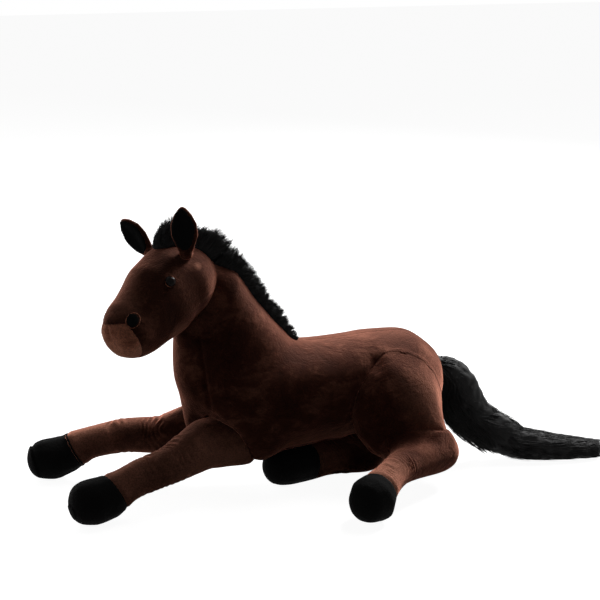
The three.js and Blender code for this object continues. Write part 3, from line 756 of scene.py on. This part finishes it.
# How far each hind pastern is moved towards its hoof's end, and how much the hoof is swollen or slimmed
HIND_SLIDE = {"left": 9 * MM, "right": 0}
HIND_HOOF = {"left": 0.6 * MM, "right": -2.0 * MM}
for side in SIDES:
    leg = hind_legs[side]
    point = hoofed(leg, f"{side}_cannon_cover", f"{side}_hind_hoof", f"{side}_hind_cannon",
                   slide=HIND_SLIDE[side], fuller=HIND_HOOF[side])
    # Painted highlights round the hind pastern and at one place higher on the leg
    leg.data.materials[0] = plush_shade(f"{side}_hind_leg_chestnut", *BROWNS,
                                        painted_highlights=[(point, 0.06, 0.95), (at(134, -95, 118), 0.05, 0.3)])
    hock = joint_at[f"{side}_hock_swing"]
    down = (point - hock).normalized()
    wrinkled(leg, hock, down, first=78 * MM, last=150 * MM, depth=0.9 * MM, pitch=6.5 * MM, seed=4.0)
    declared(leg, nodes_of(side, *HIND_LEG))
    way, first, last = HIND_BENDS[side]
    way = Vector(way).normalized()
    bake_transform(leg)

# Head: the pale muzzle panel is ahead of one plane and below another
skull = joint_at["head_turn"]
head_turn = (Matrix.Rotation(math.radians(217), 3, "Z") @ Matrix.Rotation(math.radians(34), 3, "Y")
             @ Matrix.Rotation(math.radians(10), 3, "X"))
NOSE_WAY = head_turn @ Vector((1, 0, 0))


def on_head(x, y, z):
    """A place in the head's own millimetres, from the skull's centre."""
    return skull + head_turn @ Vector((x, y, z)) * MM


def middle_and_ways(node):
    """The middle of a node, and its directions from the longest to the shortest."""
    where = np.array([list(vert.co) for vert in frame["nodes"][node].data.vertices])
    where = np.unique(where.round(6), axis=0)
    middle = where.mean(0)
    return Vector(middle), [Vector(way) for way in np.linalg.svd(where - middle)[2]]


def block_beyond(point, direction, size=0.4):
    """A large block past a plane."""
    form = bmesh.new()
    bmesh.ops.create_cube(form, size=size)
    bmesh.ops.translate(form, verts=form.verts, vec=(0, 0, size / 2))
    lay = Vector(direction).to_track_quat("Z", "Y").to_matrix().to_4x4()
    bmesh.ops.transform(form, matrix=Matrix.Translation(point) @ lay, verts=form.verts)
    return new_piece("block", form, CHESTNUT)


muzzle_rear, muzzle_ahead = on_head(115, 0, 19.6), (head_turn @ Vector((1, 0, 0.1))).normalized()
muzzle_below = head_turn @ Vector((math.sin(math.radians(34)), 0, -math.cos(math.radians(34))))
nostril_at = {side: middle_and_ways(f"{side}_nostril")[0] for side in SIDES}
nose_line = (nostril_at["left"] + nostril_at["right"]) / 2 + muzzle_below * 1.5 * MM


def from_muzzle(where):
    """How far places are ahead of the muzzle panel's rear plane, and below its upper one."""
    ahead = (where - np.array(muzzle_rear)) @ np.array(muzzle_ahead)
    return ahead, (where - np.array(nose_line)) @ np.array(muzzle_below)


# A fold between the nostrils, and one from its middle down to the lip
where = places(head)
ahead, below = from_muzzle(where)
across = np.abs((where - np.array(skull)) @ np.array(head_turn @ Vector((0, 1, 0))))
fold = 2.0 * MM * ridge(below + 4 * MM, 5 * MM) * (1 - step(across, 16 * MM, 26 * MM))
fold += 2.2 * MM * ridge(across, 3.0 * MM) * step(below, 0, 5 * MM) * (1 - step(below, 14 * MM, 22 * MM))
move_to(head, where - outwards(head) * (fold * step(ahead, 4 * MM, 14 * MM))[:, None])
rear_block, top_block = block_beyond(muzzle_rear, muzzle_ahead), block_beyond(nose_line, muzzle_below)
carve(rear_block, top_block, "INTERSECT")
muzzle = duplicate(head, "muzzle_plush", PALE)
carve(muzzle, rear_block, "INTERSECT")
carve(head, rear_block, "DIFFERENCE")
for block in (rear_block, top_block):
    bpy.data.objects.remove(block)
# Painted highlights at three places on the head, where folds of the pile catch the light
HEAD_PAINTED_HIGHLIGHTS = [(at(-142, -41, 296), 0.007, 0.8), (at(-172, -53, 219), 0.018, 0.7),
             (at(-244, -73, 262), 0.026, 0.3)]
# The head's plush is the same chestnut painted darker: painted shade
HEAD_SHADED_PLUSH = plush_shade("head_chestnut_painted_shade", (0.009, 0.0019, 0.0009), (0.024, 0.006, 0.003),
                         (0.085, 0.031, 0.019), *BROWNS[3:], painted_highlights=HEAD_PAINTED_HIGHLIGHTS)
for piece, material in ((head, HEAD_SHADED_PLUSH), (muzzle, PALE)):
    piece.data.materials.clear()
    piece.data.materials.append(material)
    where = places(piece)
    ahead, below = from_muzzle(where)
    away = np.where((ahead > -4 * MM) & (below > -4 * MM), np.minimum(np.abs(ahead), np.abs(below)), 1)
    move_to(piece, where - outwards(piece) * (0.6 * MM * ridge(away, 2.0 * MM))[:, None])
declared(head, ["left_head_panel", "right_head_panel", "head_filling"], "head")
declared(muzzle, ["muzzle_panel"], "head")

declared(torso, TORSO_NODES)


def ring_on(name, ground, middle, out, along, radii, thick, material):
    """A sewn ring that lies on a skin round a middle."""
    across = out.cross(along).normalized()
    along = across.cross(out).normalized()
    curve = bpy.data.curves.new(name, "CURVE")
    curve.dimensions = "3D"
    curve.bevel_depth = thick
    curve.bevel_resolution = 3
    spline = curve.splines.new("POLY")
    steps = 48
    spline.points.add(steps - 1)
    spline.use_cyclic_u = True
    turns = np.arange(steps) * 2 * math.pi / steps
    spots = [middle + along * radii[0] * math.cos(turn) + across * radii[1] * math.sin(turn)
             for turn in turns]
    spot, _ = nearest(spots, ground)
    spline.points.foreach_set("co", np.c_[spot, np.ones(steps)].ravel())
    spline.points.foreach_set("radius", 0.75 + 0.25 * np.sin(turns * 2 + 1) + 0.25 * np.sin(turns * 13))
    holder = bpy.data.objects.new(name + "_curve", curve)
    scene.collection.objects.link(holder)
    mesh = bpy.data.meshes.new_from_object(holder.evaluated_get(bpy.context.evaluated_depsgraph_get()))
    bpy.data.objects.remove(holder)
    mesh.name = name
    ring = bpy.data.objects.new(name, mesh)
    scene.collection.objects.link(ring)
    mesh.materials.clear()
    mesh.materials.append(material)
    mesh.polygons.foreach_set("use_smooth", [True] * len(mesh.polygons))
    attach(ring, "head")
    return ring


def broadened(piece, middle, out, times):
    """Enlarges a flat piece in its own plane."""
    where = places(piece) - np.array(middle)
    rise = (where @ np.array(out))[:, None] * np.array(out)
    move_to(piece, np.array(middle) + rise + (where - rise) * times)


# Each rim's radii, and the radius of its thread
EYE_RIM = (7.1 * MM, 6.2 * MM), 0.55 * MM
NOSTRIL_RIM = (9.9 * MM, 8.1 * MM), 0.6 * MM


def eye_button(side):
    """A domed button on a stem, turned round its own axis."""
    middle, ways = middle_and_ways(f"{side}_eye_washer")
    out = ways[2] if ways[2].dot(middle_and_ways(f"{side}_eye")[0] - middle) > 0 else -ways[2]
    base = middle + out * 5.15 * MM
    form = bmesh.new()
    dome = [(6.7 * math.cos(turn), -0.6 + 5.4 * math.sin(turn)) for turn in np.linspace(0, math.pi / 2, 12)]
    profile = [(0, -12), (2, -12), (2, -1.6), (6.2, -1.6), (6.7, -1.2), *dome[:-1], (0, 4.8)]
    verts = [form.verts.new((radius * MM, 0, height * MM)) for radius, height in profile]
    edges = [form.edges.new(pair) for pair in zip(verts, verts[1:])]
    bmesh.ops.spin(form, geom=verts + edges, axis=(0, 0, 1), cent=(0, 0, 0), steps=48, angle=2 * math.pi,
                   use_merge=True)
    bmesh.ops.remove_doubles(form, verts=form.verts, dist=0.01 * MM)
    bmesh.ops.recalc_face_normals(form, faces=form.faces)
    lay = out.to_track_quat("Z", "Y").to_matrix().to_4x4()
    bmesh.ops.transform(form, matrix=Matrix.Translation(base) @ lay, verts=form.verts)
    eye = new_piece(f"{side}_eye_button", form, GLOSS)
    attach(eye, "head")
    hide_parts(f"{side}_eye")
    ring_on(f"{side}_eye_rim", head, base, out, NOSE_WAY, *EYE_RIM, PALE)


for side in SIDES:
    eye_button(side)
    washer = frame["nodes"][f"{side}_eye_washer"]
    washer.data.materials.clear()
    washer.data.materials.append(WASHER)
    middle, ways = middle_and_ways(f"{side}_nostril")
    nostril = copied(f"{side}_nostril_patch", [f"{side}_nostril"], BLACK)
    rounded(nostril, 0.8 * MM, rounds=6)
    broadened(nostril, middle, ways[2], 1.2)
    declared(nostril, [f"{side}_nostril"], "head")
    ring_on(f"{side}_nostril_rim", head, middle, ways[2], NOSE_WAY, *NOSTRIL_RIM, PALE)
    ear = copied(f"{side}_ear_plush", [f"{side}_ear_back"], CHESTNUT)
    rounded(ear, 1.1 * MM, rounds=8)
    declared(ear, [f"{side}_ear_back"], f"{side}_ear")
    lining = copied(f"{side}_ear_inside", [f"{side}_ear_lining"], BLACK)
    rounded(lining, 1.0 * MM, rounds=6, swell=0.6 * MM)
    middle, ways = middle_and_ways(f"{side}_ear_lining")
    broadened(lining, middle, ways[2], 1.16)
    front = ways[1] if ways[1].x < 0 else -ways[1]
    move_to(lining, places(lining) + np.array(front) * 0.9 * MM)
    declared(lining, [f"{side}_ear_lining"], f"{side}_ear")

# Fur


def strands(name, runs, widths, core_node, shrink, core_change=None):
    """Locks of fur over a dark core: each run of points is a tapered strand."""
    curve = bpy.data.curves.new(name, "CURVE")
    curve.dimensions = "3D"
    curve.bevel_depth = 1.0
    curve.bevel_resolution = 0
    for run, width in zip(runs, widths):
        spline = curve.splines.new("POLY")
        spline.points.add(len(run) - 1)
        spline.points.foreach_set("co", np.c_[run, np.ones(len(run))].ravel())
        share = np.linspace(0, 1, len(run))
        spline.points.foreach_set("radius", width * np.clip(1.05 - share ** 2.2, 0.05, 1))
    holder = bpy.data.objects.new(name + "_curve", curve)
    scene.collection.objects.link(holder)
    mesh = bpy.data.meshes.new_from_object(holder.evaluated_get(bpy.context.evaluated_depsgraph_get()))
    bpy.data.objects.remove(holder)
    core = copied(name + "_core", [core_node], FUR)
    rounded(core, 3 * MM, rounds=10, swell=-shrink)
    if core_change:
        move_to(core, core_change(places(core)))
    where = places(core)
    move_to(core, where + outwards(core) * (rough(where, 9 * MM, 1.0) * 2.2 * MM)[:, None])
    form = bmesh.new()
    form.from_mesh(mesh)
    form.from_mesh(core.data)
    bpy.data.meshes.remove(mesh)
    bpy.data.objects.remove(core)
    piece = new_piece(name, form, FUR)
    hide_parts(core_node)
    return piece


def surface_points(node, count, rng):
    """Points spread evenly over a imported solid."""
    mesh = frame["nodes"][node].data
    mesh.calc_loop_triangles()
    corners = np.array([[mesh.vertices[v].co for v in tri.vertices] for tri in mesh.loop_triangles])
    across = np.cross(corners[:, 1] - corners[:, 0], corners[:, 2] - corners[:, 0])
    area = np.linalg.norm(across, axis=1)
    chosen = rng.choice(len(corners), count, p=area / area.sum())
    a, b = np.sqrt(rng.random((count, 1))), rng.random((count, 1))
    return corners[chosen, 0] * (1 - a) + corners[chosen, 1] * a * (1 - b) + corners[chosen, 2] * a * b


def standing_fur(name, node, ground, count, lean, seed, thick=0.65 * MM, shrink=4 * MM, short=1.0,
                 taper=0.0):
    """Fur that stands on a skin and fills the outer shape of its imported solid.

    short is how much of its length towards the nose it keeps, and taper is how much lower it gets there.
    """
    rng = np.random.default_rng(seed)
    nose = np.array(NOSE_WAY)
    rear = min(vert.co.dot(nose) for vert in frame["nodes"][node].data.vertices)
    tips = surface_points(node, count, rng)
    tips -= nose * ((tips @ nose - rear) * (1 - short))[:, None]
    ahead = (tips @ nose - rear) / max((tips @ nose - rear).max(), 1e-9)
    roots, normals = nearest(tips, ground)
    tips = roots + (tips - roots) * (1 - taper * ahead ** 1.5)[:, None]
    locks = tips[rng.choice(count, max(count // 22, 4), replace=False)]
    runs, widths = [], []
    for tip, root, normal in zip(tips, roots, normals):
        height = (tip - root).dot(normal)
        if height < 4 * MM:
            continue
        lock = locks[np.argmin(((locks - tip) ** 2).sum(1))]
        end = tip + (lock - tip) * rng.uniform(0.1, 0.6)
        end = root + (end - root) * rng.uniform(0.85, 1.12) + lean * height * rng.uniform(0.1, 0.5)
        side = rng.normal(0, 1, 3)
        way = (end - root) / np.linalg.norm(end - root)
        side -= way * side.dot(way)
        bow = side / np.linalg.norm(side) * height * rng.uniform(0.04, 0.2)
        start = root - normal * 2 * MM
        share = np.linspace(0, 1, 5)[:, None]
        middle = start + (end - start) * share + bow * np.sin(math.pi * share)
        middle += lean * height * 0.2 * share ** 2
        runs.append(middle)
        widths.append(thick * rng.uniform(0.7, 1.3))

    def core_change(where):
        """Shortens and lowers the core, but along the last strand, not towards the nose: a known fault."""
        where = where - way * ((where @ way - rear) * (1 - short))[:, None]
        ahead = np.clip((where @ way - rear) / max((where @ way - rear).max(), 1e-9), 0, 1)
        root = nearest(where, ground)[0]
        return where + (root - where) * (taper * ahead ** 1.5)[:, None]

    return strands(name, runs, widths, node, shrink, core_change if short < 1 else None)


def path_frame(points, count):
    """A smooth path through points, with a side and a rise at each step."""
    points = np.array([list(point) for point in points])
    knots = np.linspace(0, 1, len(points))
    share = np.linspace(0, 1, count)
    smooth = np.stack([np.interp(share, knots, points[:, k]) for k in range(3)], 1)
    for _ in range(8):
        smooth[1:-1] = (smooth[:-2] + smooth[1:-1] * 2 + smooth[2:]) / 4
    along = np.gradient(smooth, axis=0)
    along /= np.linalg.norm(along, axis=1, keepdims=True)
    side = np.cross(along, np.array(UP))
    side /= np.linalg.norm(side, axis=1, keepdims=True)
    return smooth, along, side, np.cross(side, along)


# Rows of the tail's solids: place in the drawing, half width and half height, in millimetres
TAIL_TOP_ROWS = [((178, 0, 129), 18, 18), ((195, -3, 121), 24, 25), ((208, -6, 105), 26, 28),
                 ((216, -10, 80), 28, 31), ((233, -14, 56), 27, 30), ((256, -18, 40), 27, 29)]
TAIL_END_ROWS = [((256, -18, 39), 27, 29), ((274, -25, 33), 25, 28), ((293, -33, 21.5), 23, 22),
                 ((320, -43, 19), 22, 19.5), ((348, -50, 16), 20, 16.5), ((375, -55, 13.5), 18, 14),
                 ((396, -58, 11.3), 13, 12)]


def lying_fur(name, node, rows, count, length, last, wisp, seed, starts=(-0.05, 0.85), thick=0.75 * MM,
              shrink=1.0 * MM):
    """Fur that runs along a tail: each strand starts in the core and follows the fall outwards."""
    rng = np.random.default_rng(seed)
    steps = 60
    path, along, side, rise = path_frame([at(*place) for place, _, _ in rows], steps)
    knots = np.linspace(0, 1, len(rows))
    share = np.linspace(0, 1, steps)
    wide = np.interp(share, knots, [row[1] for row in rows]) * MM
    high = np.interp(share, knots, [row[2] for row in rows]) * MM
    whole = np.linalg.norm(np.diff(path, axis=0), axis=1).sum()
    runs, widths = [], []
    lock_turn = rng.uniform(0, 2 * math.pi, 90)
    for number in range(count):
        begin = rng.uniform(*starts)
        reach = min(length * rng.uniform(0.55, 1.2) / whole, last + rng.uniform(-0.05, 0.05) - begin)
        turn = rng.uniform(0, 2 * math.pi)
        lock = lock_turn[np.argmin(np.abs(np.angle(np.exp(1j * (lock_turn - turn)))))]
        depth = rng.uniform(0.3, 1.0) ** 0.5
        if number < wisp:
            begin, turn, depth = rng.uniform(0.7, 0.85), rng.normal(-1.3, 0.06), 0.45
            reach, lock = 1 + rng.uniform(0.08, 0.16) - begin, turn
        points = []
        for part in np.linspace(0, 1, 7):
            here = begin + reach * part
            inside = min(max(here, 0), 1)
            i = min(int(inside * (steps - 1)), steps - 2)
            f = inside * (steps - 1) - i
            centre = path[i] * (1 - f) + path[i + 1] * f + along[i] * (here - inside) * whole
            angle = turn + (lock - turn) * part * 0.6 + 0.15 * math.sin(part * 5 + turn * 3)
            out = depth * (0.74 + 0.34 * part)
            w = wide[i] * (1 - f) + wide[i + 1] * f
            h = high[i] * (1 - f) + high[i + 1] * f
            place = centre + side[i] * w * out * math.cos(angle) + rise[i] * h * out * math.sin(angle)
            place[2] = max(place[2], 1.2 * MM)
            points.append(place)
        runs.append(np.array(points))
        widths.append(thick * rng.uniform(0.7, 1.3))
    return strands(name, runs, widths, node, shrink)


mane = standing_fur("neck_mane_fur", "neck_mane", torso, 5200, np.array([0.45, 0, -0.25]), 3)
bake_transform(mane)
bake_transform(torso)
for name, node, count, lean, short, seed in (("poll_fur", "poll_mane", 2000, (0.3, 0, 0.0), 1.0, 5),
                                             ("forelock_fur", "forelock", 3600, (0, 0, 0.3), 0.74, 7)):
    fur = standing_fur(name, node, head, count, np.array(lean), seed, short=short, taper=(1 - short) * 2.7)
    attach(fur, "head")
for name, node, rows, last, wisp, body, seed in (
        ("tail_top_fur", "tail_top", TAIL_TOP_ROWS, 1.12, 0, "tail_root", 11),
        ("tail_end_fur", "tail_end", TAIL_END_ROWS, 1.02, 36, "tail_run", 13)):
    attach(lying_fur(name, node, rows, 3400, 56 * MM, last, wisp, seed), body)

add_floor()
add_sky()
add_lights()
add_camera()
scene.view_settings.view_transform = "Standard"
